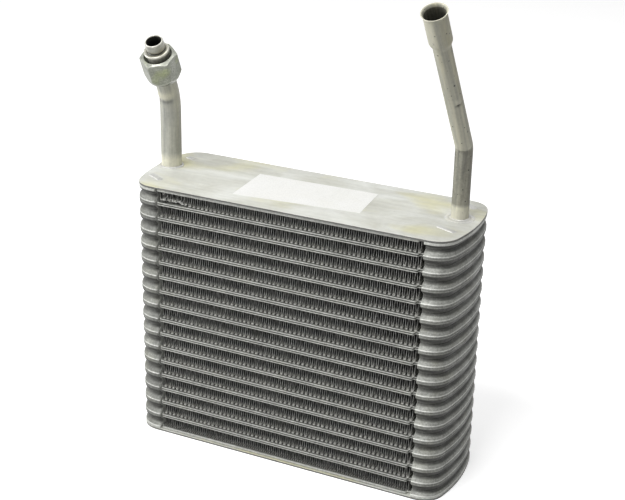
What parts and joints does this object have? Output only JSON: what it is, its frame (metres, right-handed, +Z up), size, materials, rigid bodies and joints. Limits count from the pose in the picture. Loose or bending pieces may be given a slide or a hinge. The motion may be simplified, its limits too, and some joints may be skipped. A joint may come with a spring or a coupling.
{
  "type": "evaporator core",
  "caption": "Plate-and-fin evaporator core: stacked flat tubes with folded fins between them, tanks at both ends, and bent pipes on top, one belled, the other with a swivel nut.",
  "frame": {"origin": "middle of the underside of the bottom end plate", "axes": "+X along the core towards the belled pipe, +Y from the side the pipes lean over to the other side, +Z up the stack towards the pipes"},
  "size_m": [0.2646, 0.1043, 0.3702],
  "materials": {
    "tube_plate": "brazed, dull grey",
    "fin": "thin brazed sheet, dark in its folds",
    "end_plate": "cloudy mill finish with faint yellow stains",
    "pipe": "drawn tube, satin",
    "nut": "zinc plated with a yellow-green tint"
  },
  "bodies": {
    "core": {"top_end_plate": "end_plate", "upper_drawn_plate": "tube_plate", "tube_01": "tube_plate", "tube_02": "tube_plate", "tube_03": "tube_plate", "tube_04": "tube_plate", "tube_05": "tube_plate", "tube_06": "tube_plate", "tube_07": "tube_plate", "tube_08": "tube_plate", "tube_09": "tube_plate", "tube_10": "tube_plate", "tube_11": "tube_plate", "tube_12": "tube_plate", "tube_13": "tube_plate", "tube_14": "tube_plate", "tube_15": "tube_plate", "tube_16": "tube_plate", "lower_drawn_plate": "tube_plate", "bottom_end_plate": "end_plate", "fin_row_01": "fin", "fin_row_02": "fin", "fin_row_03": "fin", "fin_row_04": "fin", "fin_row_05": "fin", "fin_row_06": "fin", "fin_row_07": "fin", "fin_row_08": "fin", "fin_row_09": "fin", "fin_row_10": "fin", "fin_row_11": "fin", "fin_row_12": "fin", "fin_row_13": "fin", "fin_row_14": "fin", "fin_row_15": "fin", "fin_row_16": "fin", "fin_row_17": "fin", "liquid_pipe": "pipe", "suction_pipe": "pipe"},
    "nut": {"swivel_nut": "nut"}
  },
  "joints": [
    {"name": "nut_swivel", "type": "hinge", "parent": "core", "child": "nut", "pos_m": [-0.1215, 0.006, 0.2616], "axis": [0.0406, -0.4646, 0.8846], "continuous": true}
  ]
}
